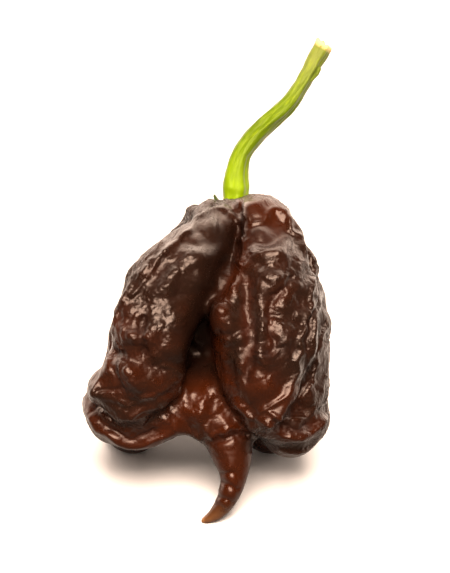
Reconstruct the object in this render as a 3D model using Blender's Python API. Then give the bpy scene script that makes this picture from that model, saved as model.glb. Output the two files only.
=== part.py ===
# A ripe chocolate-brown reaper pepper, as picked: a wrinkled, lobed pod with a hooked tail, and its stem.
# It rests as it was set down, leaning back on the ends of two back lobes, with its tail's tip as third foot.
#
# The pepper is laid out upright in its own frame: "across" to the right, "front" towards the wide cleft,
# "up" to the stem. Stations and lines are in millimetres of that frame. A parent empty then leans the
# pepper back, centres it over the origin and sets its three feet on the plane Z = 0.

import math

import bmesh
import bpy
from mathutils import Matrix, Vector, noise
from mathutils.bvhtree import BVHTree

MM = 0.001

# Driving dimensions
LEAN = math.radians(30)  # how far the stem end leans back at rest
PLACE = Vector((1.45, -12.53, 8.0)) * MM  # where the pepper's own origin stands, which centres its box
SKIN_VOXEL = 0.42 * MM  # cell in which the lobes are fused into one skin
SKIN_RELAX = 4  # smoothing passes over the fused skin
BEAD_STEP = 0.3  # distance between the ellipsoids of a lobe, in radii
POD_TRIANGLES = 9400
FOOT_PRESS = 0.25 * MM  # how deep each foot would sink before it is cut flat
FLOOR_SIDE = 120 * MM
TAIL_TOP = 1.0  # height of the tail's root
MIDDLE = 1.5  # across of the pod's middle line
SEAT_GAP = 0.3 * MM  # clearance between the calyx and the pod
STEM_SIDES = 25
SKIN_SEED = 3  # sets the offsets of the noise that bends the rows of bumps

# Lobes: stations down each lobe, as (across, front, up, half width, half depth)
LOBES = {
    "heart": [
        (3.0, -1.5, 33.0, 8.5, 8.0),
        (0.5, -2.4, 26.0, 12.5, 10.4),
        (-1.0, -5.0, 18.0, 14.0, 9.5),
        (-1.8, -4.5, 13.0, 11.5, 8.5),
    ],
    "front_left": [
        (0.5, 3.4, 38.4, 3.6, 4.0),
        (-2.8, 7.2, 34.0, 5.4, 5.6),
        (-6.6, 10.2, 28.0, 6.8, 6.8),
        (-10.6, 11.0, 20.5, 6.3, 6.8),
        (-12.3, 9.8, 14.0, 6.4, 6.8),
        (-13.0, 8.2, 11.0, 5.6, 5.8),
    ],
    "front_right": [
        (6.1, 3.0, 38.6, 3.6, 4.2),
        (8.6, 7.5, 34.0, 5.4, 6.0),
        (8.4, 10.2, 28.5, 6.9, 6.8),
        (7.2, 11.0, 22.5, 8.4, 7.0),
        (7.5, 10.8, 17.0, 7.7, 6.8),
        (7.4, 9.8, 12.0, 6.0, 6.0),
        (8.2, 8.4, 9.0, 4.6, 5.2),
        (10.6, 6.4, 6.4, 4.4, 4.8),
    ],
    "right": [
        (7.0, 0.0, 38.0, 4.0, 5.0),
        (10.2, 1.0, 33.0, 5.2, 6.5),
        (12.3, 2.0, 25.5, 6.0, 7.0),
        (13.0, 2.6, 17.0, 6.0, 7.6),
        (13.0, 1.8, 9.5, 6.2, 8.6),
        (12.3, 1.0, 5.8, 5.6, 7.0),
    ],
    "back_right": [
        (6.0, -5.5, 37.5, 4.5, 4.5),
        (8.3, -8.5, 31.0, 6.2, 6.2),
        (9.6, -10.0, 23.0, 7.2, 7.0),
        (9.6, -11.0, 14.5, 7.2, 7.2),
        (9.6, -12.4, 8.4, 6.6, 6.4),
        (9.4, -13.7, 4.3, 5.4, 5.2),
    ],
    "back": [
        (0.5, -6.5, 37.0, 4.5, 4.5),
        (-0.5, -10.0, 30.0, 6.5, 6.0),
        (-1.2, -11.5, 21.0, 6.8, 6.5),
        (-2.2, -11.5, 13.5, 6.2, 5.8),
        (-3.4, -10.6, 8.8, 5.0, 5.0),
    ],
    "back_left": [
        (-3.0, -5.0, 36.4, 4.4, 4.4),
        (-6.7, -8.0, 30.0, 5.6, 6.0),
        (-10.8, -10.0, 21.0, 6.6, 6.8),
        (-13.2, -11.0, 13.4, 6.6, 6.8),
        (-13.9, -12.4, 8.0, 6.2, 6.2),
        (-14.1, -13.7, 4.2, 5.2, 5.2),
    ],
    "left": [
        (-2.4, 0.5, 36.8, 4.0, 5.0),
        (-6.8, 1.0, 30.8, 5.0, 6.4),
        (-11.2, 1.0, 22.5, 5.6, 6.8),
        (-13.6, 0.6, 14.0, 5.3, 7.0),
        (-15.6, 0.0, 9.0, 5.0, 6.8),
    ],
    "skirt": [
        (-17.7, 2.5, 7.6, 3.7, 3.6),
        (-16.0, 4.4, 5.1, 3.2, 3.2),
        (-12.5, 5.2, 4.4, 3.0, 3.0),
        (-8.8, 5.4, 5.3, 3.2, 3.0),
        (-5.2, 5.6, 7.9, 4.0, 3.4),
        (-1.5, 5.6, 8.2, 4.6, 3.8),
        (2.5, 4.6, 7.4, 4.4, 3.6),
        (7.0, 3.4, 7.4, 4.0, 4.0),
    ],
    "core_and_tail": [
        (-0.5, -0.8, 13.8, 7.0, 6.2),
        (-0.8, 3.4, 10.0, 6.0, 5.2),
        (0.3, 5.2, 6.5, 4.9, 4.2),
        (2.1, 5.2, 3.2, 4.0, 3.5),
        (2.8, 5.1, 0.4, 3.3, 3.0),
        (3.1, 4.9, -2.6, 2.35, 2.3),
        (2.4, 4.5, -5.7, 1.85, 1.85),
        (1.1, 3.8, -8.2, 1.45, 1.45),
        (-0.5, 3.2, -9.8, 1.0, 1.0),
        (-2.0, 2.8, -10.6, 0.6, 0.6),
    ],
}

# Single swellings that stand out of the lobes, and two that fill gaps between them,
# as (across, front, up, radius)
KNOBS = [
    (-6.7, 8.0, 10.1, 1.5),
    (2.5, 5.0, 15.5, 1.5),
    (-13.4, 12.8, 13.8, 3.3),
    (-17.0, 9.0, 11.6, 3.4),
    (-8.6, 14.0, 19.4, 3.4),
    (-14.2, 13.0, 20.8, 2.8),
    (-14.0, 9.8, 8.4, 2.8),
    (2.2, 14.4, 22.8, 3.6),
    (7.3, 14.8, 25.5, 3.2),
    (11.4, 13.4, 24.0, 3.4),
    (15.2, 5.2, 6.0, 2.8),
    (12.0, 6.6, 4.6, 3.0),
    (3.5, 3.0, 39.6, 3.1),
]

# The pod's outline from the front, as (up, left side, right side)
OUTLINE = [
    (0.5, -18.5, 15.0),
    (3.0, -19.8, 17.9),
    (6.0, -21.2, 18.9),
    (8.5, -21.4, 18.8),
    (12.5, -19.7, 18.8),
    (17.0, -18.0, 18.8),
    (22.0, -16.8, 18.6),
    (27.0, -15.1, 18.2),
    (30.0, -13.4, 17.2),
    (33.3, -10.4, 15.6),
    (36.0, -7.6, 14.4),
    (38.5, -4.8, 12.6),
]

# Folds seen from the front: height (below zero for a groove), half width, and its line of (across, up) points
FRONT_FOLDS = [
    (-0.8, 0.8, [(4.1, 39.5), (3.6, 34.5), (2.5, 30.7), (1.0, 27.5)]),
    (-0.8, 1.0, [(5.2, 28.5), (4.7, 25.5), (5.5, 22.0), (5.1, 19.0), (5.9, 16.0), (4.8, 13.0)]),
    (-0.5, 1.0, [(10.5, 27.8), (8.9, 25.0), (9.0, 22.4), (8.1, 19.6), (9.3, 17.4)]),
    (-0.8, 0.9, [(-11.2, 23.0), (-11.6, 19.5), (-11.2, 16.5)]),
    (-1.0, 1.0, [(-16.5, 17.5), (-14.2, 16.6), (-10.6, 15.2), (-6.5, 15.8)]),
    (0.8, 1.2, [(-4.9, 36.9), (-8.5, 32.5), (-12.0, 27.9), (-14.8, 23.4)]),
    (1.0, 1.0, [(12.3, 37.7), (15.7, 31.1), (15.4, 26.6), (14.4, 21.3), (12.8, 11.5), (8.2, 5.7)]),
    (0.8, 0.9, [(4.0, 8.4), (7.0, 4.6), (10.5, 3.4), (15.0, 3.7), (18.0, 6.0)]),
    (-0.8, 0.9, [(8.0, 2.6), (12.0, 1.8), (16.5, 2.2)]),
    (-0.6, 0.9, [(12.0, 8.6), (14.5, 7.0), (18.0, 8.0)]),
    (-1.0, 0.9, [(-1.6, 2.4), (1.5, 3.6), (4.5, 4.8)]),
    (-0.9, 0.9, [(-19.0, 4.4), (-16.4, 1.8), (-13.4, 0.2), (-10.0, 0.6), (-6.5, 2.6)]),
    (0.7, 0.9, [(-21.0, 7.8), (-17.5, 3.5), (-13.4, 1.6), (-10.5, 1.8), (-6.0, 4.6), (-2.5, 3.4)]),
]

# Crumpled skin: rounded bumps on the faces to the front, and long standing ridges on the flanks and the back
BUMP_HEIGHT = 2.6 * MM
BUMP_SPAN = 3.0 * MM
RIDGE_HEIGHT = 1.9 * MM
RIDGE_SPAN = 2.5 * MM
RIDGE_STRETCH = 0.32  # how far a ridge's pattern is squeezed in height before it is laid on the skin
LUMP_HEIGHT = 1.2 * MM
LUMP_SPAN = 7.0 * MM
GIRTH = 14 * MM  # the radius to which the pattern is wrapped, so that it narrows towards the crown

# Feet: a point near each foot's lowest part, as (across, front, up), and how far round it the skin settles
FEET = [
    (-14.3, -15.5, 0.5, 7.0),
    (9.6, -15.5, 0.5, 7.0),
    (-2.0, 2.8, -11.0, 2.5),
]

# The stem: stations from its foot in the crown to its torn end, as (across, front, up, radius)
STEM = [
    (3.4, -1.2, 42.4, 2.1),
    (3.5, -1.2, 46.0, 1.68),
    (4.3, -1.2, 49.2, 1.62),
    (6.2, -1.2, 52.0, 1.6),
    (8.7, -1.2, 54.6, 1.58),
    (11.5, -1.0, 57.0, 1.45),
    (13.4, -0.8, 59.5, 1.35),
    (15.1, -0.6, 62.3, 1.25),
    (16.4, -0.5, 64.8, 1.2),
    (17.9, -0.4, 67.4, 1.35),
]
STEM_RINGS = 32
RIBS = 5
RIB_HEIGHT = 0.07
TORN_DEPTH = 0.5 * MM
# The hollow of the crown round the stem's foot
DIP_DEPTH = 2.2
DIP_RADIUS = 3.2
# The calyx in that hollow, from its middle outwards and back in, as (radius, height over the crown's skin)
CALYX = [(1.5, -0.5), (2.6, -0.2), (3.3, 0.1), (3.2, 0.6), (2.6, 0.9), (2.25, 1.4)]
TOOTH_RINGS = (2, 3)
# Its five teeth, as (how far each reaches out, how far it curls up)
TEETH = [(1.1, 0.1), (0.9, 0.0), (1.3, 1.2), (1.0, 0.2), (1.1, 0.1)]
# A strip of peel that stands off near the torn end, as (across, front, up, half width, half thickness)
PEEL = [
    (15.0, -0.4, 60.8, 0.5, 0.35),
    (15.9, -0.2, 61.4, 0.5, 0.25),
    (16.7, 0.0, 62.3, 0.42, 0.2),
    (17.1, 0.1, 63.4, 0.3, 0.16),
]
PEEL_SIDES = 8


def own_point(across, front, up):
    """A point of the pepper's own frame, in metres, from its place in millimetres."""
    return Vector((across, -front, up)) * MM


def eased(value, low, high):
    """0 below low, 1 above high and a smooth ramp between them."""
    t = min(max((value - low) / (high - low), 0.0), 1.0)
    return t * t * (3 - 2 * t)


def catmull_rom(stations, position):
    """The values at a fractional position along the stations, on a smooth curve through them all."""
    last = len(stations) - 1
    index = min(int(position), last - 1)
    t = position - index
    near = [stations[min(max(index + step, 0), last)] for step in (-1, 0, 1, 2)]
    return [
        0.5 * (2 * b + (c - a) * t + (2 * a - 5 * b + 4 * c - d) * t**2 + (3 * b - a - 3 * c + d) * t**3)
        for a, b, c, d in zip(*near)
    ]


def table_value(rows, key, column):
    """The value of one column at a key, on straight lines between the rows, which rise by their keys."""
    for low, high in zip(rows, rows[1:]):
        if key <= high[0]:
            share = max((key - low[0]) / (high[0] - low[0]), 0.0)
            return low[column] + share * (high[column] - low[column])
    return rows[-1][column]


def new_object(name, mesh, parent=None):
    obj = bpy.data.objects.new(name, mesh)
    bpy.context.scene.collection.objects.link(obj)
    obj.parent = parent
    return obj


def cutter(name, mesh, parent=None):
    obj = new_object(name, mesh, parent)
    obj.display_type = "WIRE"
    obj.hide_render = True
    return obj


def add_boolean(obj, other, operation):
    boolean = obj.modifiers.new(other.name, "BOOLEAN")
    boolean.operation = operation
    boolean.solver = "EXACT"
    boolean.object = other


def material(name, colour, roughness):
    made = bpy.data.materials.new(name)
    made.use_nodes = True
    shader = made.node_tree.nodes["Principled BSDF"]
    shader.inputs["Base Color"].default_value = (*colour, 1.0)
    shader.inputs["Roughness"].default_value = roughness
    shader.inputs["Metallic"].default_value = 0.0
    return made


def evaluated_mesh(obj):
    """The object's mesh with its modifiers applied; the object itself is removed."""
    graph = bpy.context.evaluated_depsgraph_get()
    mesh = bpy.data.meshes.new_from_object(obj.evaluated_get(graph))
    bpy.data.objects.remove(obj)
    return mesh


def add_ellipsoid(bm, centre, size):
    place = Matrix.Translation(centre) @ Matrix.Diagonal(size).to_4x4()
    bmesh.ops.create_icosphere(bm, subdivisions=3, radius=1.0, matrix=place)


def add_lobe(bm, stations):
    """Adds one lobe: a run of overlapping ellipsoids, closer together where it is thin."""
    position = 0.0
    last = len(stations) - 1
    while True:
        across, front, up, half_width, half_depth = catmull_rom(stations, position)
        size = Vector((half_width, half_depth, (half_width + half_depth) / 2)) * MM
        add_ellipsoid(bm, own_point(across, front, up), size)
        if position == last:
            break
        ahead = catmull_rom(stations, min(position + 0.1, last))
        pace = max(10 * math.dist(ahead[:3], (across, front, up)), 1.0)
        position = min(position + BEAD_STEP * min(half_width, half_depth) / pace, last)


def fused_skin():
    """All the lobes and knobs grown together in one closed skin."""
    bm = bmesh.new()
    for stations in LOBES.values():
        add_lobe(bm, stations)
    for across, front, up, radius in KNOBS:
        add_ellipsoid(bm, own_point(across, front, up), Vector((radius, radius, radius)) * MM)
    mesh = bpy.data.meshes.new("lobes")
    bm.to_mesh(mesh)
    bm.free()
    lobes = new_object("lobes", mesh)
    fuse = lobes.modifiers.new("fuse", "REMESH")
    fuse.mode = "VOXEL"
    fuse.voxel_size = SKIN_VOXEL
    return evaluated_mesh(lobes)


def relax(bm, passes):
    """Smooths the skin above the tail, which is thin and stays as it is."""
    body = [v for v in bm.verts if v.co.z > TAIL_TOP * MM]
    for _ in range(passes):
        bmesh.ops.smooth_vert(bm, verts=body, factor=0.5, use_axis_x=True, use_axis_y=True, use_axis_z=True)


def fit_outline(bm):
    """Widens or narrows the skin at each height, so that its sides stand on the outline."""
    sides = {}
    for v in bm.verts:
        level = round(v.co.z / MM)
        offset = v.co.x / MM - MIDDLE
        left, right = sides.get(level, (0.0, 0.0))
        sides[level] = (min(left, offset), max(right, offset))
    rows = []
    for level in sorted(sides):
        near = [sides[other] for other in (level - 1, level, level + 1) if other in sides]
        rows.append((level, sum(row[0] for row in near) / len(near), sum(row[1] for row in near) / len(near)))
    bottom, top = OUTLINE[0][0], OUTLINE[-1][0]
    for v in bm.verts:
        up = v.co.z / MM
        share = eased(up, bottom, bottom + 2) * (1 - eased(up, top, top + 2))
        if not share:
            continue
        offset = v.co.x / MM - MIDDLE
        column = 1 if offset < 0 else 2
        ratio = (table_value(OUTLINE, up, column) - MIDDLE) / table_value(rows, up, column)
        v.co.x = (MIDDLE + offset * (1 + (ratio - 1) * share)) * MM


def distance_to_line(across, up, line):
    """Distance of a point from a run of straight stretches, seen from the front."""
    nearest = math.inf
    for (a_across, a_up), (b_across, b_up) in zip(line, line[1:]):
        run_across = b_across - a_across
        run_up = b_up - a_up
        share = ((across - a_across) * run_across + (up - a_up) * run_up) / (run_across**2 + run_up**2)
        share = min(max(share, 0.0), 1.0)
        gap = math.hypot(across - a_across - share * run_across, up - a_up - share * run_up)
        nearest = min(nearest, gap)
    return nearest


def front_fold(point, normal):
    """How far the hand-placed folds raise a point of the skin, in metres."""
    facing = eased(-normal.y, -0.1, 0.4) * eased(-point.y / MM, 1.0, 4.0)
    if not facing:
        return 0.0
    total = 0.0
    for height, half_width, line in FRONT_FOLDS:
        gap = distance_to_line(point.x / MM, point.z / MM, line) / half_width
        total += height * math.exp(-gap * gap)
    return total * facing * MM


def crumple(point, normal):
    """How far the bumps, ridges and lumps of the skin raise a point, in metres."""
    from_middle = Vector((point.x - MIDDLE * MM, point.y))
    across, front = from_middle / max(from_middle.length, 4 * MM) * GIRTH
    warp = 0.35 * noise.noise_vector(point / LUMP_SPAN)
    bump_place = Vector((across, front, 0.7 * point.z)) / BUMP_SPAN + warp
    ridge_place = Vector((across, front, RIDGE_STRETCH * point.z)) / RIDGE_SPAN + warp
    bump = abs(noise.noise(bump_place)) - 0.2
    ridge = 0.2 - abs(noise.noise(ridge_place))
    face = eased(-normal.y, 0.3, 0.8)
    lump = noise.noise(point / LUMP_SPAN + Vector((7.3, 1.9, 4.1)))
    calm = eased(point.z / MM, TAIL_TOP, TAIL_TOP + 6)
    return calm * (face * bump * BUMP_HEIGHT + (1 - face) * ridge * RIDGE_HEIGHT + lump * LUMP_HEIGHT)


def raise_skin(bm, height_of):
    bm.normal_update()
    moves = [(v, v.normal * height_of(v.co, v.normal)) for v in bm.verts]
    for vertex, move in moves:
        vertex.co += move


def dip_crown(bm):
    """Sinks the top of the crown round the stem's foot."""
    foot = own_point(*STEM[0][:3])
    for v in bm.verts:
        gap = math.hypot(v.co.x - foot.x, v.co.y - foot.y) / (DIP_RADIUS * MM)
        v.co.z -= DIP_DEPTH * MM * math.exp(-gap * gap) * eased(v.co.z / MM, 34.0, 38.0)


def settle_feet(bm, place):
    """Brings the skin round each foot down, so that each foot would sink equally deep."""
    down = place.to_3x3().inverted() @ Vector((0, 0, 1))
    for across, front, up, reach in FEET:
        foot = own_point(across, front, up)
        near = [(v, (v.co - foot).length / (reach * MM)) for v in bm.verts]
        near = [(v, gap) for v, gap in near if gap < 1]
        lowest = min((place @ v.co).z for v, _ in near)
        for v, gap in near:
            v.co -= down * (lowest + FOOT_PRESS) * (1 - eased(gap, 0.4, 1.0))


def pod(parent, place):
    """The pod, and a search tree of its skin."""
    mesh = fused_skin()
    bm = bmesh.new()
    bm.from_mesh(mesh)
    relax(bm, SKIN_RELAX)
    fit_outline(bm)
    raise_skin(bm, front_fold)
    noise.seed_set(SKIN_SEED)
    raise_skin(bm, crumple)
    dip_crown(bm)
    relax(bm, 1)
    settle_feet(bm, place)
    for face in bm.faces:
        face.smooth = True
    bm.to_mesh(mesh)
    skin = BVHTree.FromBMesh(bm)
    bm.free()
    mesh.materials.clear()
    mesh.materials.append(material("chocolate_skin", (0.055, 0.012, 0.006), 0.3))
    obj = new_object("pod", mesh, parent)
    mesh.calc_loop_triangles()
    thin = obj.modifiers.new("thin", "DECIMATE")
    thin.ratio = POD_TRIANGLES / len(mesh.loop_triangles)
    thin.use_collapse_triangulate = True
    return obj, skin


def ring_loft(bm, rings):
    """A closed skin over rings of equal length, with a fan of triangles over each end."""
    made = [[bm.verts.new(point) for point in ring] for ring in rings]
    sides = len(made[0])
    for lower, upper in zip(made, made[1:]):
        for i in range(sides):
            j = (i + 1) % sides
            bm.faces.new((lower[i], lower[j], upper[j], upper[i]))
    for ring, flip in ((made[0], True), (made[-1], False)):
        centre = bm.verts.new(sum((v.co for v in ring), Vector()) / sides)
        for i in range(sides):
            j = (i + 1) % sides
            bm.faces.new((ring[j], ring[i], centre) if flip else (ring[i], ring[j], centre))
    bmesh.ops.recalc_face_normals(bm, faces=bm.faces[:])


def tooth(angle):
    """How far the tooth at this angle reaches out and curls up, in millimetres; 0 between the teeth."""
    share = max(math.cos(RIBS * angle), 0.0) ** 1.5
    length, curl = TEETH[round(RIBS * angle / (2 * math.pi)) % RIBS]
    return length * share, curl * share


def stem_mesh(name, skin, grow):
    """The calyx and stem as one closed mesh, laid on the crown's skin and grown by a distance in metres."""
    foot = own_point(*STEM[0][:3])
    angles = [2 * math.pi * i / STEM_SIDES for i in range(STEM_SIDES)]
    rings = []
    for index, (radius, height) in enumerate(CALYX):
        ring = []
        for angle in angles:
            length, curl = tooth(angle) if index in TOOTH_RINGS else (0.0, 0.0)
            out = Vector((math.cos(angle), math.sin(angle), 0))
            point = Vector((foot.x, foot.y, 0)) + out * (radius + length) * MM
            crown = skin.ray_cast(point + Vector((0, 0, 60 * MM)), Vector((0, 0, -1)))[0]
            point.z = crown.z + (height + curl) * MM + (grow if index > TOOTH_RINGS[0] else -grow)
            ring.append(point + out * grow)
        rings.append(ring)
    last = len(STEM) - 1
    for index in range(STEM_RINGS):
        position = last * index / (STEM_RINGS - 1)
        across, front, up, radius = catmull_rom(STEM, position)
        centre = own_point(across, front, up)
        before = own_point(*catmull_rom(STEM, max(position - 0.05, 0.0))[:3])
        after = own_point(*catmull_rom(STEM, min(position + 0.05, last))[:3])
        along = (after - before).normalized()
        side = Vector((0, 1, 0)).cross(along).normalized()
        other = along.cross(side)
        ring = []
        for angle in angles:
            out = side * math.cos(angle) + other * math.sin(angle)
            rough = noise.noise((centre + out * radius * MM) / (1.6 * MM))
            reach = radius * (1 + RIB_HEIGHT * math.cos(RIBS * angle) + 0.06 * rough) * MM + grow
            point = centre + out * reach
            if index == STEM_RINGS - 1:
                point += along * TORN_DEPTH * noise.noise(out * 2.3 + Vector((3.1, 0.4, 7.7)))
            ring.append(point)
        rings.append(ring)
    hollow = sum(rings[-1], Vector()) / STEM_SIDES
    rings.append([hollow + (point - hollow) * 0.6 - along * TORN_DEPTH for point in rings[-1]])
    bm = bmesh.new()
    ring_loft(bm, rings)
    for face in bm.faces:
        face.smooth = True
    mesh = bpy.data.meshes.new(name)
    bm.to_mesh(mesh)
    bm.free()
    return mesh


def peel_mesh():
    rings = []
    for across, front, up, half_width, half_thickness in PEEL:
        ring = []
        for i in range(PEEL_SIDES):
            angle = 2 * math.pi * i / PEEL_SIDES
            ring.append(
                own_point(
                    across + half_thickness * math.cos(angle), front + half_width * math.sin(angle), up
                )
            )
        rings.append(ring)
    bm = bmesh.new()
    ring_loft(bm, rings)
    mesh = bpy.data.meshes.new("peel")
    bm.to_mesh(mesh)
    bm.free()
    return mesh


def floor_mesh():
    bm = bmesh.new()
    size = Matrix.Diagonal((FLOOR_SIDE, FLOOR_SIDE, FLOOR_SIDE / 2)).to_4x4()
    bmesh.ops.create_cube(bm, size=1.0, matrix=Matrix.Translation((0, 0, -FLOOR_SIDE / 4)) @ size)
    mesh = bpy.data.meshes.new("floor_cut")
    bm.to_mesh(mesh)
    bm.free()
    return mesh


def main():
    for obj in list(bpy.data.objects):
        bpy.data.objects.remove(obj)
    place = Matrix.Translation(PLACE) @ Matrix.Rotation(-LEAN, 4, "X")
    pepper = new_object("pepper", None)
    pepper.location = PLACE
    pepper.rotation_euler.x = -LEAN
    body, skin = pod(pepper, place)
    add_boolean(body, cutter("calyx_seat", stem_mesh("calyx_seat", skin, SEAT_GAP), pepper), "DIFFERENCE")
    add_boolean(body, cutter("floor_cut", floor_mesh()), "DIFFERENCE")
    stem = new_object("stem", stem_mesh("stem", skin, 0.0), pepper)
    stem.data.materials.append(material("green_stem", (0.36, 0.42, 0.03), 0.4))
    add_boolean(stem, cutter("peel", peel_mesh(), pepper), "UNION")


main()
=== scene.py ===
import math

import bmesh
import bpy
import numpy as np
from mathutils import Matrix, Vector, noise


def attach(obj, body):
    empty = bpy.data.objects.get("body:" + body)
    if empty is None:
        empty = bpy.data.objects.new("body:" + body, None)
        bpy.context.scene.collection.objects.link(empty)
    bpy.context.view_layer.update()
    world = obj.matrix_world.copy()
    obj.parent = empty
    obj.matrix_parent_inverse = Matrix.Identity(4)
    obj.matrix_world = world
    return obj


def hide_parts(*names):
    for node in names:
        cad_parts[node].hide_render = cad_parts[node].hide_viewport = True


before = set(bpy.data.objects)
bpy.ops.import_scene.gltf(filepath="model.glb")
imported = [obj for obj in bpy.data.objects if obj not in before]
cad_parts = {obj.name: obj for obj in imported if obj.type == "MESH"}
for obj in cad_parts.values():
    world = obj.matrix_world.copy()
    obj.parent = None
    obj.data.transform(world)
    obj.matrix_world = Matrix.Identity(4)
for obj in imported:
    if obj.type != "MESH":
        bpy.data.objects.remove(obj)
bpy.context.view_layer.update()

mm = 0.001
scene = bpy.context.scene
wrinkleSeed = 3
noise.seed_set(wrinkleSeed)  # the same wrinkles in every run

# The pepper leans back. "Own" points are in millimetres of the upright pepper: across, back, up.
lean = math.radians(-30)
restPlace = (0.00145, -0.01253, 0.008)  # where the upright pepper's zero lies at rest
pepperPlace = Matrix.Translation(restPlace) @ Matrix.Rotation(lean, 4, "X")
ownPlace = Matrix.Scale(1 / mm, 4) @ pepperPlace.inverted()


def ease(value, low, high):
    t = np.clip((value - low) / (high - low), 0, 1)
    return t * t * (3 - 2 * t)


def worldPoint(across, back, up):
    return pepperPlace @ (Vector((across, back, up)) * mm)


def ownArrays(mesh):
    # positions and normals of a mesh's points in the upright pepper's frame
    count = len(mesh.vertices)
    points = np.empty(count * 3, np.float32)
    normals = np.empty(count * 3, np.float32)
    mesh.vertices.foreach_get("co", points)
    mesh.vertices.foreach_get("normal", normals)
    toOwn = np.array(ownPlace)
    turn = np.array(ownPlace.to_3x3().normalized())
    points = points.reshape(-1, 3) @ toOwn[:3, :3].T + toOwn[:3, 3]
    return points.astype(np.float64), (normals.reshape(-1, 3) @ turn.T).astype(np.float64)


def lineDistance(points, line):
    # distance to a run of straight stretches, in the plane of the given points
    nearest = np.full(len(points), 1e9)
    for start, end in zip(line, line[1:]):
        start, end = np.array(start, float), np.array(end, float)
        run = end - start
        share = np.clip((points - start) @ run / (run @ run), 0, 1)
        gap = np.linalg.norm(points - start - share[:, None] * run, axis=1)
        nearest = np.minimum(nearest, gap)
    return nearest


def cutFresh(name, nodeName, cell, passes, thinPasses, thinBelow):
    # an even, finely divided copy of a CAD node's mesh, smoothed by all the passes above a height
    # of the upright pepper and only by the thin ones below it
    bm = bmesh.new()
    bm.from_mesh(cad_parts[nodeName].data)
    bmesh.ops.remove_doubles(bm, verts=bm.verts[:], dist=0.002 * mm)
    mesh = bpy.data.meshes.new(name)
    bm.to_mesh(mesh)
    bm.free()
    obj = bpy.data.objects.new(name, mesh)
    scene.collection.objects.link(obj)
    even = obj.modifiers.new("even", "REMESH")
    even.mode = "VOXEL"
    even.voxel_size = cell
    even.use_smooth_shade = True
    graph = bpy.context.evaluated_depsgraph_get()
    fine = bpy.data.meshes.new_from_object(obj.evaluated_get(graph))
    obj.modifiers.clear()
    bm = bmesh.new()
    bm.from_mesh(fine)
    thick = [v for v in bm.verts if (ownPlace @ v.co).z > thinBelow]
    for turn in range(passes):
        chosen = bm.verts[:] if turn < thinPasses else thick
        bmesh.ops.smooth_vert(bm, verts=chosen, factor=0.5, use_axis_x=True, use_axis_y=True, use_axis_z=True)
    bm.normal_update()
    bm.to_mesh(mesh)
    bm.free()
    bpy.data.meshes.remove(fine)
    return obj


def raisePoints(mesh, points, normals, heights):
    # moves each point out along its normal, and none below the floor
    moved = points + normals * heights[:, None]
    back = np.array(ownPlace.inverted())
    world = moved @ back[:3, :3].T + back[:3, 3]
    world[:, 2] = np.maximum(world[:, 2], 0)
    mesh.vertices.foreach_set("co", world.astype(np.float32).ravel())
    mesh.update()


def addAttribute(mesh, name, values):
    attribute = mesh.attributes.new(name, "FLOAT", "POINT")
    attribute.data.foreach_set("value", np.asarray(values, np.float32))


def addVectors(mesh, name, vectors):
    attribute = mesh.attributes.new(name, "FLOAT_VECTOR", "POINT")
    attribute.data.foreach_set("vector", vectors.astype(np.float32).ravel())


def shaderNode(tree, kind, inputs=None, **settings):
    node = tree.nodes.new(kind)
    for key, value in settings.items():
        setattr(node, key, value)
    for socket, value in (inputs or {}).items():
        if isinstance(value, bpy.types.NodeSocket):
            tree.links.new(value, node.inputs[socket])
        else:
            node.inputs[socket].default_value = value
    return node


def blendColour(tree, share, first, second):
    mix = shaderNode(tree, "ShaderNodeMix", {"Factor": share}, data_type="RGBA")
    for index, colour in ((6, first), (7, second)):
        if isinstance(colour, bpy.types.NodeSocket):
            tree.links.new(colour, mix.inputs[index])
        else:
            mix.inputs[index].default_value = (*colour, 1)
    return mix.outputs[2]


def calculate(tree, operation, first, second, third=0.0, clamp=False):
    inputs = {0: first, 1: second, 2: third}
    node = shaderNode(tree, "ShaderNodeMath", inputs, operation=operation, use_clamp=clamp)
    return node.outputs[0]


def spread(tree, value, low, high, toLow=0.0, toHigh=1.0):
    # the value carried from one range of numbers to another, and held at its ends
    inputs = {"Value": value, "From Min": low, "From Max": high, "To Min": toLow, "To Max": toHigh}
    return shaderNode(tree, "ShaderNodeMapRange", inputs).outputs["Result"]


def readAttribute(tree, name, output="Fac"):
    return shaderNode(tree, "ShaderNodeAttribute", attribute_name=name).outputs[output]


def cloudy(tree, place, scale, detail, roughness=0.5):
    inputs = {"Vector": place, "Scale": scale, "Detail": detail, "Roughness": roughness}
    return shaderNode(tree, "ShaderNodeTexNoise", inputs).outputs


def addBump(tree, height, strength, distance):
    bump = shaderNode(tree, "ShaderNodeBump", {"Height": height})
    bump.inputs["Strength"].default_value = strength
    bump.inputs["Distance"].default_value = distance
    tree.links.new(bump.outputs["Normal"], tree.nodes["Principled BSDF"].inputs["Normal"])


# Camera, in line with the upright pepper's front
cameraSettings = {
    "aim": (1.64, 0, 27.6),  # own point in the middle of the picture
    "distance": 0.35,
    "lens": 134.1,
}


def makeCamera(settings):
    data = bpy.data.cameras.new("camera")
    data.lens = settings["lens"]
    data.sensor_width = 36
    data.clip_start = 0.01
    camera = bpy.data.objects.new("camera", data)
    scene.collection.objects.link(camera)
    aim = worldPoint(*settings["aim"])
    back = pepperPlace.to_3x3() @ Vector((0, -1, 0))
    camera.location = aim + back * settings["distance"]
    camera.rotation_euler = (-back).to_track_quat("-Z", "Y").to_euler()
    scene.camera = camera


makeCamera(cameraSettings)
print("camera done")


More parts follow.
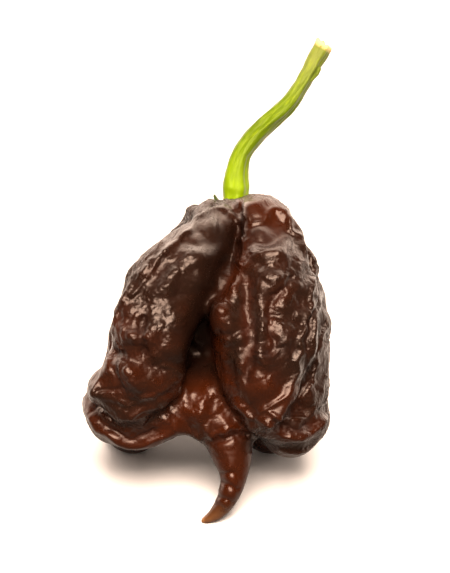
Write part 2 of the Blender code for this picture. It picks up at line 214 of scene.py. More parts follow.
# Floor, one soft light overhead and a room that is bright behind, with a bright card in front
lightSettings = {
    "floorColour": (0.97, 0.99, 1.0),
    "floorInGloss": (0.045, 0.035, 0.028),  # the floor in front, as the glossy skin sees it
    "floorBounce": (0.4, 0.38, 0.36),  # the floor, as it lights the pepper from below
    "floorSplit": 0.03,  # how gently the floor in front gives way to the floor behind
    "roomBright": 0.75,  # overhead
    "roomLow": 0.03,  # near the floor
    "roomRise": (0.1, 0.7),
    "roomInGloss": 6.0,  # behind, as the glossy skin sees it
    "roomDark": 0.02,  # in front, as the glossy skin sees it
    "roomFront": (0, -0.87, 0.5),
    "roomTilt": -0.35,
    "roomFade": (-0.5, -0.05),
    "roomColour": (1, 0.79, 0.66, 1),
    "cardPlace": (-0.12, -0.72, 0.68),
    "cardEdge": (0.90, 0.968),
    "cardInGloss": 17.0,
    "keyPower": 9.0,
    "keySize": 0.3,
    "keyPlace": (0.01, -0.24, 0.44),
    "keyAim": (0, 0, 0.02),
    "keyColour": (1, 0.78, 0.64),
}


def makeFloor(settings):
    bm = bmesh.new()
    bmesh.ops.create_grid(bm, x_segments=1, y_segments=1, size=6)
    mesh = bpy.data.meshes.new("floor")
    bm.to_mesh(mesh)
    bm.free()
    floor = bpy.data.objects.new("floor", mesh)
    scene.collection.objects.link(floor)
    material = bpy.data.materials.new("paleFloor")
    material.use_nodes = True
    tree = material.node_tree
    shader = tree.nodes["Principled BSDF"]
    place = shaderNode(tree, "ShaderNodeTexCoord").outputs["Object"]
    back = shaderNode(tree, "ShaderNodeSeparateXYZ", {"Vector": place}).outputs["Y"]
    path = shaderNode(tree, "ShaderNodeLightPath").outputs
    colour = blendColour(tree, path["Is Diffuse Ray"], settings["floorColour"], settings["floorBounce"])
    inFront = spread(tree, back, settings["floorSplit"], -settings["floorSplit"])
    share = calculate(tree, "MULTIPLY", path["Is Glossy Ray"], inFront)
    colour = blendColour(tree, share, colour, settings["floorInGloss"])
    tree.links.new(colour, shader.inputs["Base Color"])
    shader.inputs["Roughness"].default_value = 0.9
    shader.inputs["Specular IOR Level"].default_value = 0.1
    mesh.materials.append(material)


def makeLight(name, settings):
    data = bpy.data.lights.new(name, "AREA")
    data.size = settings["keySize"]
    data.energy = settings["keyPower"]
    data.color = settings["keyColour"]
    light = bpy.data.objects.new(name, data)
    scene.collection.objects.link(light)
    light.visible_glossy = False  # the skin's highlights come from the room and its card
    light.location = settings["keyPlace"]
    way = Vector(settings["keyAim"]) - Vector(settings["keyPlace"])
    light.rotation_euler = way.to_track_quat("-Z", "Y").to_euler()


def makeRoom(settings):
    world = bpy.data.worlds.new("room")
    world.use_nodes = True
    scene.world = world
    tree = world.node_tree
    tree.nodes.clear()
    direction = shaderNode(tree, "ShaderNodeTexCoord").outputs["Object"]
    upward = shaderNode(tree, "ShaderNodeSeparateXYZ", {"Vector": direction}).outputs["Z"]
    path = shaderNode(tree, "ShaderNodeLightPath").outputs

    def toward(way):
        inputs = {0: direction, 1: way}
        return shaderNode(tree, "ShaderNodeVectorMath", inputs, operation="DOT_PRODUCT").outputs["Value"]

    def background(colour, strength):
        return shaderNode(tree, "ShaderNodeBackground", {"Color": colour, "Strength": strength}).outputs[0]

    def choose(share, first, second):
        return shaderNode(tree, "ShaderNodeMixShader", {0: share, 1: first, 2: second}).outputs[0]

    soft = spread(tree, upward, *settings["roomRise"], settings["roomLow"], settings["roomBright"])
    behind = calculate(tree, "MULTIPLY_ADD", upward, settings["roomTilt"], toward(settings["roomFront"]))
    gloss = spread(tree, behind, *settings["roomFade"], settings["roomInGloss"], settings["roomDark"])
    card = spread(tree, toward(settings["cardPlace"]), *settings["cardEdge"], 0.0, settings["cardInGloss"])
    gloss = calculate(tree, "ADD", gloss, card)
    lit = background(settings["roomColour"], soft)
    reflected = background(settings["roomColour"], gloss)
    lit = choose(path["Is Glossy Ray"], lit, reflected)
    white = background((1, 1, 1, 1), 1.0)
    shown = choose(path["Is Camera Ray"], lit, white)
    shaderNode(tree, "ShaderNodeOutputWorld", {"Surface": shown})


makeFloor(lightSettings)
makeLight("keyLight", lightSettings)
makeRoom(lightSettings)
scene.view_settings.view_transform = "Standard"
print("floor and lights done")


# The shared effect: soft patches that break up a colour or a sheen
def makePatches():
    group = bpy.data.node_groups.new("softPatches", "ShaderNodeTree")
    group.interface.new_socket("Size", in_out="INPUT", socket_type="NodeSocketFloat")
    group.interface.new_socket("Low", in_out="INPUT", socket_type="NodeSocketFloat")
    group.interface.new_socket("High", in_out="INPUT", socket_type="NodeSocketFloat")
    group.interface.new_socket("Mask", in_out="OUTPUT", socket_type="NodeSocketFloat")
    given = group.nodes.new("NodeGroupInput")
    result = group.nodes.new("NodeGroupOutput")
    place = shaderNode(group, "ShaderNodeTexCoord").outputs["Object"]
    scale = calculate(group, "DIVIDE", 1.0, given.outputs["Size"])
    cloud = cloudy(group, place, scale, 4.0, 0.6)[0]
    mask = spread(group, cloud, given.outputs["Low"], given.outputs["High"])
    group.links.new(mask, result.inputs["Mask"])
    return group


patchGroup = makePatches()


def patches(tree, size, low, high):
    node = shaderNode(tree, "ShaderNodeGroup", node_tree=patchGroup)
    node.inputs["Size"].default_value = size
    node.inputs["Low"].default_value = low
    node.inputs["High"].default_value = high
    return node.outputs["Mask"]


# The pod's skin
podSettings = {
    "cell": 0.335 * mm,
    "passes": 18,
    "tailPasses": 2,
    "tailTop": 1.0,
    # the skin is wrapped round an upright line, so that its wrinkles follow the sides (mm)
    "middle": 1.5,
    "girth": 14.0,
    "leastGirth": 4.0,
    "swaySpan": 3.6,
    # lumps and grooves of the front and back faces: how wide and how high (mm)
    "cellStretch": 0.8,
    "cellSway": 1.1,
    "cellSpan": 2.5,
    "cellRound": 0.14,
    "cellGroove": 0.14,
    "grooveWidth": 0.34,
    "swellSpan": 2.6,
    "swellHeight": 0.15,
    "fineSpan": 1.0,
    "fineGroove": 0.05,
    "fineShift": Vector((3.1, 8.2, 5.5)),
    # long ridges of the sides
    "ridgeStretch": 0.28,
    "ridgeSway": 0.7,
    "ridgeHeight": 0.32,
    "ridgeSpan": 1.8,
    "ridgeWidth": 0.42,
    "fineRidgeHeight": 0.2,
    "fineRidgeSpan": 0.9,
    "fineRidgeWidth": 0.45,
    "ridgeFoot": 0.3,  # taken off, so that the ridges don't swell the pod
    # the traced folds sway a little off their straight stretches
    "foldSwaySpan": 2.2,
    "foldSway": 0.7,
    "edgeHeight": 0.22,  # the most that a wrinkle stands out at the outline (mm)
    "crownSwell": 0.75,  # how much fuller the crown is on its right (mm)
    # colours and finish
    "darkSkin": (0.0105, 0.0045, 0.0026),
    # red-brown skin, also used as a painted glow where light shines through thin flesh
    "redSkinAndGlow": (0.028, 0.0050, 0.0006),
    "tipSkin": (0.32, 0.15, 0.05),
    # painted shade for the grooves
    "paintedGrooveShade": (0.010, 0.0035, 0.0025),
    # painted shade for the cleft
    "paintedCleftShade": (0.004, 0.0016, 0.001),
    "skinRoughness": (0.24, 0.34),
    "specularTint": (1, 0.86, 0.76, 1),
    "pebble": 0.95 * mm,
    "warpSpan": 1.4 * mm,
    "warp": 1.6 * mm,
    "pore": 0.5 * mm,
    "bumpStrength": 0.7,
    "bumpDepth": 0.16 * mm,
}

# Folds traced on the front: height and half width in mm, and a line of (across, up) points
frontFolds = [
    # long ridges down the left lobe's crest and its outer side
    (0.4, 0.4, [(-0.5, 41.5), (-2.8, 39.5), (-4.4, 38.5), (-6.4, 36.2), (-9.7, 32.0), (-12.6, 29.3),
        (-14.3, 25.1)]),
    (0.4, 0.4, [(3.8, 37.9), (2.5, 39.8), (0.8, 40.5), (-1.1, 39.8), (-4.8, 35.6), (-8.7, 32.0),
        (-11.6, 28.0), (-13.0, 25.7)]),
    (0.4, 0.4, [(-4.8, 38.5), (-7.7, 36.9), (-9.3, 34.9), (-12.3, 31.3), (-15.2, 26.7)]),
    (0.35, 0.35, [(-10.7, 30.7), (-12.6, 28.0), (-15.2, 23.8), (-15.9, 21.8)]),
    (-0.35, 0.4, [(-1.8, 40.4), (-5.4, 37.2), (-8.8, 33.0), (-11.4, 30.3)]),
    # arcs over the crown
    (0.3, 0.45, [(2.8, 42.5), (4.1, 40.8), (5.4, 39.8), (7.4, 40.8), (9.0, 41.8)]),
    (0.3, 0.45, [(4.4, 39.2), (6.1, 37.9), (7.7, 38.2), (9.3, 39.8), (11.3, 39.2), (12.3, 37.2)]),
    (-0.45, 0.45, [(4.3, 41.0), (4.3, 38.4), (4.0, 36.0)]),
    # long ridges between the right lobe's face and its flank
    (0.45, 0.45, [(8.7, 42.0), (11.6, 38.2), (14.6, 33.3), (15.9, 30.3), (15.4, 25.1), (13.9, 20.5),
        (13.3, 17.5), (12.6, 13.4), (11.5, 10.9), (9.0, 8.7), (7.4, 7.7)]),
    (0.4, 0.4, [(12.6, 39.8), (15.9, 33.6), (17.2, 28.4), (16.6, 25.4), (15.7, 19.2), (16.0, 15.5)]),
    (0.22, 0.4, [(17.2, 30.7), (18.3, 28.7), (18.3, 25.7), (17.6, 19.2)]),
    (0.35, 0.4, [(18.3, 22.5), (17.3, 19.5), (16.4, 15.6), (15.6, 12.3), (14.0, 9.5)]),
    (-0.35, 0.45, [(16.4, 29.5), (16.0, 25.4), (14.9, 20.5), (14.9, 17.0), (13.4, 10.6)]),
    # valleys of the right lobe's face
    (-0.3, 0.8, [(4.8, 29.0), (4.7, 25.5), (5.4, 21.3), (5.2, 18.0), (5.8, 15.5), (4.6, 13.0)]),
    (-0.4, 0.45, [(10.4, 26.8), (8.7, 24.0), (8.5, 21.3), (9.2, 18.4)]),
    (-0.35, 0.4, [(12.6, 29.0), (10.9, 27.4), (9.0, 25.9)]),
    (-0.3, 0.4, [(1.0, 20.6), (3.0, 20.2), (4.8, 20.8)]),
    (-0.3, 0.4, [(6.0, 17.4), (8.5, 17.2), (11.0, 18.2)]),
    # right lobe's lower lip and the folds over it
    (0.4, 0.5, [(3.3, 9.3), (5.7, 7.1), (8.5, 5.5), (10.4, 3.6), (13.1, 3.3), (15.6, 4.1), (18.0, 6.3)]),
    (0.35, 0.45, [(8.5, 7.4), (11.5, 6.3), (14.5, 6.8), (16.7, 8.5)]),
    (-0.35, 0.45, [(9.5, 5.9), (12.5, 4.9), (15.0, 5.4)]),
    (0.3, 0.4, [(10.4, 1.4), (13.1, 0.4), (15.9, 1.4), (17.6, 3.6)]),
    # left lobe's face and its blunt end
    (-0.4, 0.5, [(-11.3, 22.7), (-11.5, 19.7), (-11.1, 16.7)]),
    (-0.45, 0.5, [(-15.6, 17.2), (-13.4, 16.4), (-10.7, 15.0), (-8.5, 14.5)]),
    (0.3, 0.4, [(-11.7, 15.6), (-9.6, 14.4), (-7.4, 14.8), (-5.2, 13.9)]),
    (0.35, 0.45, [(-16.7, 20.8), (-17.2, 18.6), (-16.4, 16.7), (-16.7, 14.5), (-18.3, 12.8),
        (-19.4, 11.2), (-19.7, 8.5), (-17.5, 6.3), (-14.8, 4.9), (-12.3, 5.5), (-8.5, 8.5), (-4.9, 11.7)]),
    (0.3, 0.4, [(-14.8, 9.3), (-12.0, 9.6), (-8.5, 10.9), (-6.0, 12.8)]),
    (0.3, 0.4, [(-13.4, 6.8), (-10.9, 8.2), (-7.4, 10.1)]),
    (-0.3, 0.4, [(-18.4, 11.0), (-15.4, 11.6), (-13.0, 11.0)]),
    # skirt's rounded lip and the web's lip over the tail
    (0.3, 0.5, [(-21.3, 7.4), (-19.7, 5.5), (-16.9, 3.0), (-13.7, 1.5), (-11.2, 1.9), (-8.5, 3.4),
        (-6.3, 4.8), (-4.1, 3.8), (-1.9, 2.7)]),
    (0.4, 0.45, [(-0.5, 3.5), (1.4, 4.4), (3.5, 4.9), (6.8, 5.2)]),
    (-0.4, 0.45, [(-0.2, 2.6), (2.0, 3.5), (5.0, 4.0)]),
    (-0.35, 0.45, [(-17.0, 4.6), (-13.4, 3.2), (-9.6, 4.6)]),
    # creases across the tail
    (-0.28, 0.3, [(1.2, -2.4), (2.6, -2.5), (3.9, -3.0)]),
    (-0.28, 0.3, [(0.9, -4.2), (2.3, -4.6), (3.5, -5.0)]),
    (-0.25, 0.28, [(0.6, -6.0), (1.8, -6.4), (2.9, -7.0)]),
    (-0.18, 0.25, [(0.0, -7.3), (1.2, -7.9), (1.9, -8.6)]),
]

# Single bumps that catch the light, and a dip: across, up, radius and twice the height in mm
frontBumps = [
    (8.3, 35.2, 1.5, -0.9),
    (-2.2, 33.3, 0.9, 0.3), (-2.5, 31.1, 1.0, 0.35), (-4.1, 32.8, 0.9, 0.3), (-6.3, 30.4, 1.3, 0.4),
    (-7.4, 27.7, 1.3, 0.4), (-7.6, 25.0, 1.1, 0.4), (-9.2, 23.4, 1.1, 0.4), (-12.8, 19.8, 1.0, 0.4),
    (-12.2, 17.9, 0.9, 0.35), (-9.8, 20.6, 1.1, 0.45), (-9.5, 18.4, 1.0, 0.4), (-7.6, 21.1, 1.1, 0.45),
    (-6.7, 19.4, 0.8, 0.3), (-13.3, 14.0, 1.7, 0.5), (-16.4, 12.6, 1.2, 0.4), (-18.4, 10.4, 1.0, 0.3),
    (6.6, 32.2, 0.8, 0.35), (5.2, 31.0, 0.8, 0.35), (6.6, 30.4, 0.8, 0.3), (8.6, 31.1, 1.0, 0.4),
    (10.4, 32.4, 1.0, 0.35), (3.8, 28.1, 0.9, 0.4), (2.7, 25.8, 1.1, 0.45), (1.4, 24.4, 1.0, 0.4),
    (3.1, 23.1, 1.0, 0.4), (6.6, 27.6, 0.9, 0.4), (9.3, 27.9, 1.1, 0.45), (11.8, 25.9, 1.0, 0.4),
    (6.8, 24.5, 1.0, 0.45), (10.8, 24.0, 1.1, 0.45), (12.6, 23.4, 0.8, 0.3), (1.0, 22.0, 1.0, 0.4),
    (2.8, 21.8, 0.9, 0.4), (3.2, 19.3, 0.9, 0.35), (1.4, 19.0, 1.0, 0.4), (2.8, 16.6, 0.9, 0.35),
    (3.7, 15.0, 0.8, 0.3), (7.2, 20.4, 0.9, 0.4), (9.4, 21.9, 1.0, 0.4), (10.6, 19.6, 1.1, 0.45),
    (8.5, 18.8, 1.0, 0.4), (6.8, 18.0, 0.9, 0.35), (7.9, 15.5, 1.1, 0.35), (11.2, 15.8, 0.9, 0.25),
    (-4.9, 9.0, 0.9, 0.35), (-4.0, 7.6, 0.9, 0.35), (-0.8, 11.4, 0.9, 0.3), (-0.3, 10.0, 0.8, 0.3),
    (0.9, 7.7, 0.9, 0.3), (-1.2, 7.3, 0.9, 0.35), (-1.9, 5.4, 1.0, 0.4), (4.1, 6.1, 0.8, 0.3),
    (2.6, -1.7, 1.2, 0.6), (2.8, -3.9, 1.2, 0.95), (2.4, -5.9, 1.1, 0.95), (1.5, -7.5, 0.9, 0.7),
]

# Calm places, where the photographed skin is nearly smooth: half width, how calm,
# and a line of (across, up) points
calmLines = [
    (3.2, 0.85, [(1.1, 36.1), (0.0, 30.3), (-1.1, 25.4), (-3.3, 18.9), (-4.1, 12.3)]),
    (3.4, 0.75, [(-3.4, 35.5), (0.6, 33.0)]),
    (2.6, 0.8, [(6.0, 11.5), (10.5, 9.3)]),
    (0.8, 0.6, [(2.8, 25.4), (5.2, 17.2)]),
    (1.9, 0.6, [(-21.0, 9.0), (-16.4, 2.7), (-10.7, 1.9), (-5.7, 4.2)]),
    (1.8, 0.5, [(-18.5, 16.0), (-18.0, 10.0)]),
    (3.2, 0.8, [(5.7, 40.0), (9.0, 36.5)]),
    (1.8, 0.85, [(-0.6, 22.0), (-1.6, 16.0), (-0.4, 12.0)]),
    (3.2, 0.85, [(3.0, 0.0), (2.0, -6.0), (-1.5, -10.5)]),
    (2.5, 0.4, [(-3.0, 7.5), (1.0, 7.0)]),
]

# The side of the cleft that gets painted shade and a dull finish: half width and a line of (across, up)
# points
cleftLine = (2.6, [(3.6, 36.0), (1.6, 32.5), (0.0, 29.5), (-1.4, 24.0), (-2.6, 19.5), (-3.6, 15.5)])

# Red-brown places, where the flesh is thin, partly the skin's own red and partly a painted glow of light
# through it: half width, how red, and a line of (across, up) points
redAndGlowLines = [
    (1.2, 0.85, [(5.0, 37.0), (4.6, 33.0), (3.2, 29.0), (1.0, 25.0), (0.2, 21.5), (1.0, 16.0),
        (2.4, 11.5), (5.0, 8.6)]),
    (0.8, 0.8, [(5.0, 28.5), (4.9, 25.1), (5.3, 18.0), (4.6, 13.0)]),
    (0.8, 0.5, [(10.4, 26.8), (8.7, 24.0), (9.0, 17.4)]),
    (3.6, 0.75, [(6.5, 11.5), (9.8, 9.6)]),
    (1.6, 0.6, [(9.0, 5.4), (13.0, 3.8), (16.0, 5.0)]),
    (3.6, 0.95, [(-4.5, 8.0), (-1.0, 9.0), (2.0, 6.0)]),
    (2.4, 0.9, [(1.0, 4.0), (3.0, 0.0), (2.4, -5.7), (-0.5, -9.8)]),
    (1.8, 0.85, [(-20.5, 9.0), (-19.0, 5.2), (-15.0, 3.2), (-11.0, 3.0), (-7.0, 5.4)]),
    (2.6, 0.6, [(-17.6, 13.5), (-16.8, 18.0), (-15.0, 21.0)]),
    (2.8, 0.5, [(-14.5, 12.0), (-11.0, 18.0)]),
    (2.4, 0.85, [(5.2, 41.6), (7.6, 40.4), (9.6, 38.4)]),
    (2.2, 0.3, [(5.5, 34.5), (9.0, 35.0)]),
    (2.0, 0.4, [(-8.5, 12.5), (-12.0, 7.5)]),
]


def facingFront(points, normals):
    # one on the front's skin, nought on the back's and on what faces away
    return ease(-normals[:, 1], -0.2, 0.2) * ease(-points[:, 1], -1.0, 2.0)


def drawnHeights(points, normals, settings):
    # folds and bumps that the photograph shows one by one
    flat = points[:, [0, 2]].copy()
    for index, (across, back, up) in enumerate(points):
        sway = noise.noise_vector(Vector((across, 0, up)) / settings["foldSwaySpan"])
        flat[index] += (settings["foldSway"] * sway[0], settings["foldSway"] * sway[2])
    total = np.zeros(len(points))
    for height, halfWidth, line in frontFolds:
        gap = lineDistance(flat, line) / halfWidth
        total += height * np.exp(-gap * gap)
    for across, up, radius, height in frontBumps:
        gap = ((flat[:, 0] - across) ** 2 + (flat[:, 1] - up) ** 2) / radius**2
        total += height * 0.5 * np.exp(-gap)
    return total * facingFront(points, normals)


def rounded(place, grooveWidth):
    # rounded cells with a groove between them: how far from the middle, and how deep in the groove
    gaps = noise.voronoi(place)[0]
    return gaps[0], max(1 - (gaps[1] - gaps[0]) / grooveWidth, 0) ** 2


def ridged(place, width):
    # ridges along the places where the noise passes through zero
    return max(1 - abs(noise.noise(place)) / width, 0) ** 2


def crumpledHeights(points, normals, settings):
    # wrinkles by a rule, all over; also their grain, the share of side skin and the calmness
    flat = points[:, [0, 2]]
    facing = facingFront(points, normals)
    calm = np.ones(len(points))
    for halfWidth, amount, line in calmLines:
        gap = lineDistance(flat, line) / halfWidth
        calm = np.minimum(calm, 1 - amount * np.exp(-gap**2) * facing)
    face = ease(np.abs(normals[:, 1]), 0.3, 0.75)
    body = ease(points[:, 2], 0.5, 5.0)  # nought on the tail
    heights = np.zeros(len(points))
    grain = np.array(points)
    for index, point in enumerate(points):
        if not body[index]:
            continue
        across, back, up = point
        length = max(math.hypot(across - settings["middle"], back), settings["leastGirth"])
        wrapAcross = (across - settings["middle"]) / length * settings["girth"]
        wrapBack = back / length * settings["girth"]
        sway = noise.noise_vector(Vector(point) / settings["swaySpan"])
        even = Vector((wrapAcross, wrapBack, up * settings["cellStretch"])) + sway * settings["cellSway"]
        far, groove = rounded(even / settings["cellSpan"], settings["grooveWidth"])
        finePlace = even / settings["fineSpan"] + settings["fineShift"]
        fineFar, fineGroove = rounded(finePlace, settings["grooveWidth"])
        front = settings["swellHeight"] * noise.noise(even / settings["swellSpan"]) * 2
        front -= settings["cellRound"] * (far * far - 0.2)
        front -= settings["cellGroove"] * groove + settings["fineGroove"] * (fineGroove + fineFar)
        long = Vector((wrapAcross, wrapBack, up * settings["ridgeStretch"])) + sway * settings["ridgeSway"]
        ridge = ridged(long / settings["ridgeSpan"], settings["ridgeWidth"])
        fineRidge = ridged(long / settings["fineRidgeSpan"], settings["fineRidgeWidth"])
        side = settings["ridgeHeight"] * (ridge - settings["ridgeFoot"])
        side += settings["fineRidgeHeight"] * (fineRidge - settings["ridgeFoot"])
        both = face[index] * front + (1 - face[index]) * side
        heights[index] = both * calm[index] * body[index]
        grain[index] = long
    return heights, grain, (1 - face) * body, calm


def podMaterial(settings):
    material = bpy.data.materials.new("chocolateSkin")
    material.use_nodes = True
    tree = material.node_tree
    shader = tree.nodes["Principled BSDF"]
    place = shaderNode(tree, "ShaderNodeTexCoord").outputs["Object"]
    small = patches(tree, 1.6 * mm, 0.3, 0.7)
    # where the flesh is thin, red skin and a painted glow of light through it show, in clouds
    cloud = calculate(tree, "MULTIPLY_ADD", patches(tree, 5 * mm, 0.3, 0.75), 0.5, -0.2)
    red = calculate(tree, "ADD", readAttribute(tree, "redAndGlow"), cloud, clamp=True)
    skin = blendColour(tree, red, settings["darkSkin"], settings["redSkinAndGlow"])
    # painted shade: grooves and the cleft are darker, and the cleft is dull
    low = spread(tree, readAttribute(tree, "height"), 0.05, -0.45)
    skin = blendColour(tree, calculate(tree, "MULTIPLY", low, 0.5), skin, settings["paintedGrooveShade"])
    # painted shade down the cleft
    cleft = readAttribute(tree, "cleft")
    skin = blendColour(tree, calculate(tree, "MULTIPLY", cleft, 0.65), skin, settings["paintedCleftShade"])
    tree.links.new(spread(tree, cleft, 0, 1, 0.5, 0.2), shader.inputs["Specular IOR Level"])
    gold = calculate(tree, "MULTIPLY", readAttribute(tree, "tip"), spread(tree, small, 0, 1, 0.6, 1.0))
    skin = blendColour(tree, gold, skin, settings["tipSkin"])
    tree.links.new(skin, shader.inputs["Base Color"])
    gloss = spread(tree, small, 0, 1, *settings["skinRoughness"])
    tree.links.new(calculate(tree, "MULTIPLY_ADD", low, 0.12, gloss), shader.inputs["Roughness"])
    # long fine ridges round the sides
    strands = cloudy(tree, readAttribute(tree, "grain", "Vector"), 1.5, 3.0, 0.55)[0]
    strands = calculate(tree, "ABSOLUTE", calculate(tree, "SUBTRACT", strands, 0.5), 0.0)
    strands = spread(tree, strands, 0.12, 0.0, 0.0, 1.5)
    # pebbles on the faces, pushed out of their even spacing
    cloud = cloudy(tree, place, 1 / settings["warpSpan"], 2.0)["Color"]
    warp = shaderNode(tree, "ShaderNodeVectorMath", {0: cloud}, operation="SCALE")
    warp.inputs["Scale"].default_value = settings["warp"]
    warped = shaderNode(tree, "ShaderNodeVectorMath", {0: place, 1: warp.outputs[0]}, operation="ADD")
    inputs = {"Vector": warped.outputs[0], "Scale": 1 / settings["pebble"]}
    pebbles = shaderNode(tree, "ShaderNodeTexVoronoi", inputs, feature="SMOOTH_F1").outputs["Distance"]
    pebbles = spread(tree, pebbles, 0.7, 0.1)
    # pores everywhere
    pores = cloudy(tree, place, 1 / settings["pore"], 3.0, 0.6)[0]
    inputs = {"Factor": readAttribute(tree, "flank"), 2: pebbles, 3: strands}
    relief = shaderNode(tree, "ShaderNodeMix", inputs, data_type="FLOAT").outputs[0]
    relief = calculate(tree, "MULTIPLY_ADD", pores, 0.35, relief)
    relief = calculate(tree, "MULTIPLY", relief, readAttribute(tree, "rough"))
    addBump(tree, relief, settings["bumpStrength"], settings["bumpDepth"])
    shader.inputs["IOR"].default_value = 1.5
    shader.inputs["Specular Tint"].default_value = settings["specularTint"]
    return material


def makePod(settings):
    passes, tailPasses = settings["passes"], settings["tailPasses"]
    pod = cutFresh("podSkin", "pod", settings["cell"], passes, tailPasses, settings["tailTop"])
    mesh = pod.data
    points, normals = ownArrays(mesh)
    crumpled, grain, flank, calm = crumpledHeights(points, normals, settings)
    heights = drawnHeights(points, normals, settings) + crumpled
    # lower near the outline, and a fuller crown on the right
    limit = settings["edgeHeight"] + ease(np.abs(normals[:, 1]), 0.15, 0.7)
    heights = limit * np.tanh(heights / limit)
    crown = ease(points[:, 2], 37.0, 41.5) * ease(normals[:, 2], 0.1, 0.7) * ease(points[:, 0], 3.5, 5.5)
    heights += settings["crownSwell"] * crown * ease(-points[:, 1], -5.0, -2.0)
    raisePoints(mesh, points, normals, heights)
    addVectors(mesh, "grain", grain)
    addAttribute(mesh, "flank", flank)
    addAttribute(mesh, "rough", calm)
    # red places, partly the skin's own red and partly painted glow through thin flesh
    redAndGlow = np.zeros(len(points))
    inFront = ease(-points[:, 1], -3.0, 1.0)
    for halfWidth, amount, line in redAndGlowLines:
        gap = lineDistance(points[:, [0, 2]], line) / halfWidth
        redAndGlow = np.maximum(redAndGlow, amount * np.exp(-gap**2 * 0.7) * inFront)
    redAndGlow = np.maximum(redAndGlow, 0.9 * ease(-points[:, 2], -2.5, 0.5))
    addAttribute(mesh, "redAndGlow", redAndGlow)
    gap = lineDistance(points[:, [0, 2]], cleftLine[1]) / cleftLine[0]
    addAttribute(mesh, "cleft", np.exp(-gap**4) * inFront)
    addAttribute(mesh, "height", heights)
    paling = ease(-points[:, 2], 6.5, 11.5) * 0.35
    point = ease(-points[:, 0], 1.2, 2.2) * ease(-points[:, 2], 9.0, 10.0)
    addAttribute(mesh, "tip", np.maximum(paling, point))
    mesh.materials.clear()
    mesh.materials.append(podMaterial(settings))
    mesh.polygons.foreach_set("use_smooth", [True] * len(mesh.polygons))
    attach(pod, "root")
    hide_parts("pod")
    print("pod skin done,", len(mesh.polygons), "faces")


makePod(podSettings)


# The stem and its calyx
stemSettings = {
    "cell": 0.13 * mm,
    # own points along the stalk's middle
    "line": [
        (3.4, 1.2, 42.4), (3.5, 1.2, 46.0), (4.3, 1.2, 49.2), (6.2, 1.2, 52.0), (8.7, 1.2, 54.6),
        (11.5, 1.0, 57.0), (13.4, 0.8, 59.5), (15.1, 0.6, 62.3), (16.4, 0.5, 64.8), (17.9, 0.4, 67.4),
    ],
    "lineSteps": 240,
    "strandRound": 1.6,
    "strandLong": 0.13,
    "passes": 2,
    "baseSwell": 0.32,
    "endSwell": 0.22,
    "ribHeight": 0.16,
    "fineRibHeight": 0.09,
    "knobHeight": 0.08,
    "tornHeight": 0.28,
    "baseGreen": (0.145, 0.235, 0.001),
    "midGreen": (0.075, 0.125, 0.001),
    "endGreen": (0.135, 0.165, 0.03),
    # pale streak colour, partly painted highlight
    "paleGreenAndHighlight": (0.25, 0.34, 0.012),
    # dark green for painted shade on one side, and for random mottling
    "shadeAndMottleGreen": (0.04, 0.075, 0.001),
    "tornStraw": (0.62, 0.52, 0.22),
    "fleckBrown": (0.45, 0.16, 0.03),
    "calyxGreen": (0.02, 0.036, 0.006),
}


def curvePoints(line, steps):
    # closely spaced points on a smooth curve through the line
    found = []
    last = len(line) - 1
    for step in range(steps):
        place = last * step / (steps - 1)
        index = min(int(place), last - 1)
        t = place - index
        a, b, c, d = [np.array(line[min(max(index + k, 0), last)], float) for k in (-1, 0, 1, 2)]
        square = 2 * a - 5 * b + 4 * c - d
        cube = 3 * b - a - 3 * c + d
        found.append(0.5 * (2 * b + (c - a) * t + square * t**2 + cube * t**3))
    return np.array(found)


def stemMaterial(settings):
    material = bpy.data.materials.new("greenStem")
    material.use_nodes = True
    tree = material.node_tree
    shader = tree.nodes["Principled BSDF"]
    along = readAttribute(tree, "along")
    strand = readAttribute(tree, "strand", "Vector")
    streak = cloudy(tree, strand, 2.6, 4.0, 0.6)[0]
    skin = blendColour(tree, spread(tree, along, 0.05, 0.34), settings["baseGreen"], settings["midGreen"])
    skin = blendColour(tree, spread(tree, along, 0.6, 0.92), skin, settings["endGreen"])
    # painted shade: darker along the right side, above the base
    across = shaderNode(tree, "ShaderNodeSeparateXYZ", {"Vector": strand}).outputs["X"]
    aboveBase = spread(tree, along, 0.1, 0.3, 0.0, 0.5)
    shade = calculate(tree, "MULTIPLY", spread(tree, across, 0.0, 1.4), aboveBase)
    skin = blendColour(tree, shade, skin, settings["shadeAndMottleGreen"])
    # pale streaks along the stalk, partly its own pale lines and partly painted highlight
    skin = blendColour(tree, spread(tree, streak, 0.5, 0.75, 0, 0.45), skin, settings["paleGreenAndHighlight"])
    mottle = spread(tree, patches(tree, 2.2 * mm, 0.45, 0.8), 0, 1, 0, 0.4)
    skin = blendColour(tree, mottle, skin, settings["shadeAndMottleGreen"])
    skin = blendColour(tree, readAttribute(tree, "leaf"), skin, settings["calyxGreen"])
    # the torn end, with brown flecks
    flecks = patches(tree, 0.5 * mm, 0.58, 0.66)
    torn = blendColour(tree, flecks, settings["tornStraw"], settings["fleckBrown"])
    skin = blendColour(tree, spread(tree, along, 0.965, 0.99), skin, torn)
    tree.links.new(skin, shader.inputs["Base Color"])
    tree.links.new(spread(tree, streak, 0.3, 0.7, 0.32, 0.5), shader.inputs["Roughness"])
    addBump(tree, cloudy(tree, strand, 6.0, 3.0)[0], 0.5, 0.1 * mm)
    shader.inputs["IOR"].default_value = 1.4
    shader.inputs["Specular Tint"].default_value = (1, 1, 0.5, 1)
    return material


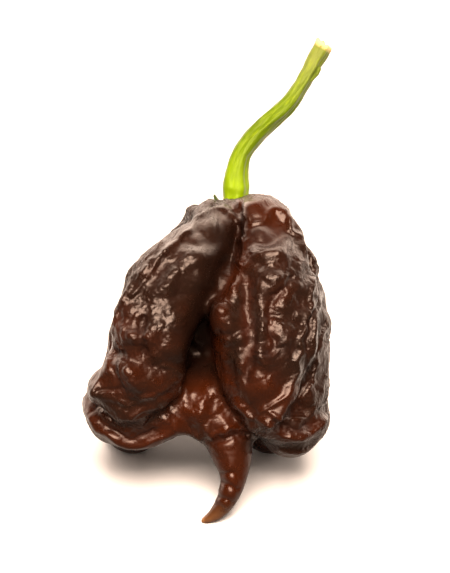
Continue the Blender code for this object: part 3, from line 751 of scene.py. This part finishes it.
def makeStem(settings):
    stem = cutFresh("stemSkin", "stem", settings["cell"], settings["passes"], settings["passes"], 0)
    mesh = stem.data
    points, normals = ownArrays(mesh)
    # how far along the stalk each point lies, and on which side of it
    curve = curvePoints(settings["line"], settings["lineSteps"])
    ahead = np.gradient(curve, axis=0)
    ahead /= np.linalg.norm(ahead, axis=1)[:, None]
    travelled = np.concatenate([[0], np.cumsum(np.linalg.norm(np.diff(curve, axis=0), axis=1))])
    nearest = np.empty(len(points), int)
    batch = 4000  # points measured at a time
    for start in range(0, len(points), batch):
        gaps = ((points[start:start + batch, None] - curve[None]) ** 2).sum(axis=2)
        nearest[start:start + batch] = gaps.argmin(axis=1)
    offset = points - curve[nearest]
    tangent = ahead[nearest]
    side = np.cross(np.array([0, 1.0, 0]), tangent)
    side /= np.linalg.norm(side, axis=1)[:, None]
    other = np.cross(tangent, side)
    u, v = (offset * side).sum(axis=1), (offset * other).sum(axis=1)
    length = travelled[nearest]
    radius = np.maximum(np.hypot(u, v), 0.01)
    about, along = settings["strandRound"], settings["strandLong"]
    strand = np.stack([u / radius * about, v / radius * about, length * along], axis=1)
    heights = np.zeros(len(points))
    onStalk = ease(points[:, 2], 42.0, 44.0)
    swell = settings["baseSwell"] * ease(-length, -7.0, -2.0)
    swell += settings["endSwell"] * ease(length / travelled[-1], 0.72, 0.92)
    for index in range(len(points)):
        place = Vector(strand[index])
        rib = noise.noise(place * 1.1) * settings["ribHeight"]
        rib += noise.noise(place * 2.4) * settings["fineRibHeight"]
        knob = noise.noise(Vector(points[index]) / 1.4) * settings["knobHeight"]
        heights[index] = (rib + swell[index]) * onStalk[index] + knob
    ended = length > travelled[-1] - 0.02
    for index in np.flatnonzero(ended):
        heights[index] += settings["tornHeight"] * noise.noise(Vector(points[index]) / 0.35)
    raisePoints(mesh, points, normals, heights)
    addAttribute(mesh, "along", length / travelled[-1])
    addAttribute(mesh, "leaf", ease(-points[:, 2], -46.5, -44.5) * ease(radius, 2.1, 2.7))
    addVectors(mesh, "strand", strand)
    mesh.materials.clear()
    mesh.materials.append(stemMaterial(settings))
    mesh.polygons.foreach_set("use_smooth", [True] * len(mesh.polygons))
    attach(stem, "root")
    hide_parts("stem")
    print("stem done,", len(mesh.polygons), "faces")


makeStem(stemSettings)
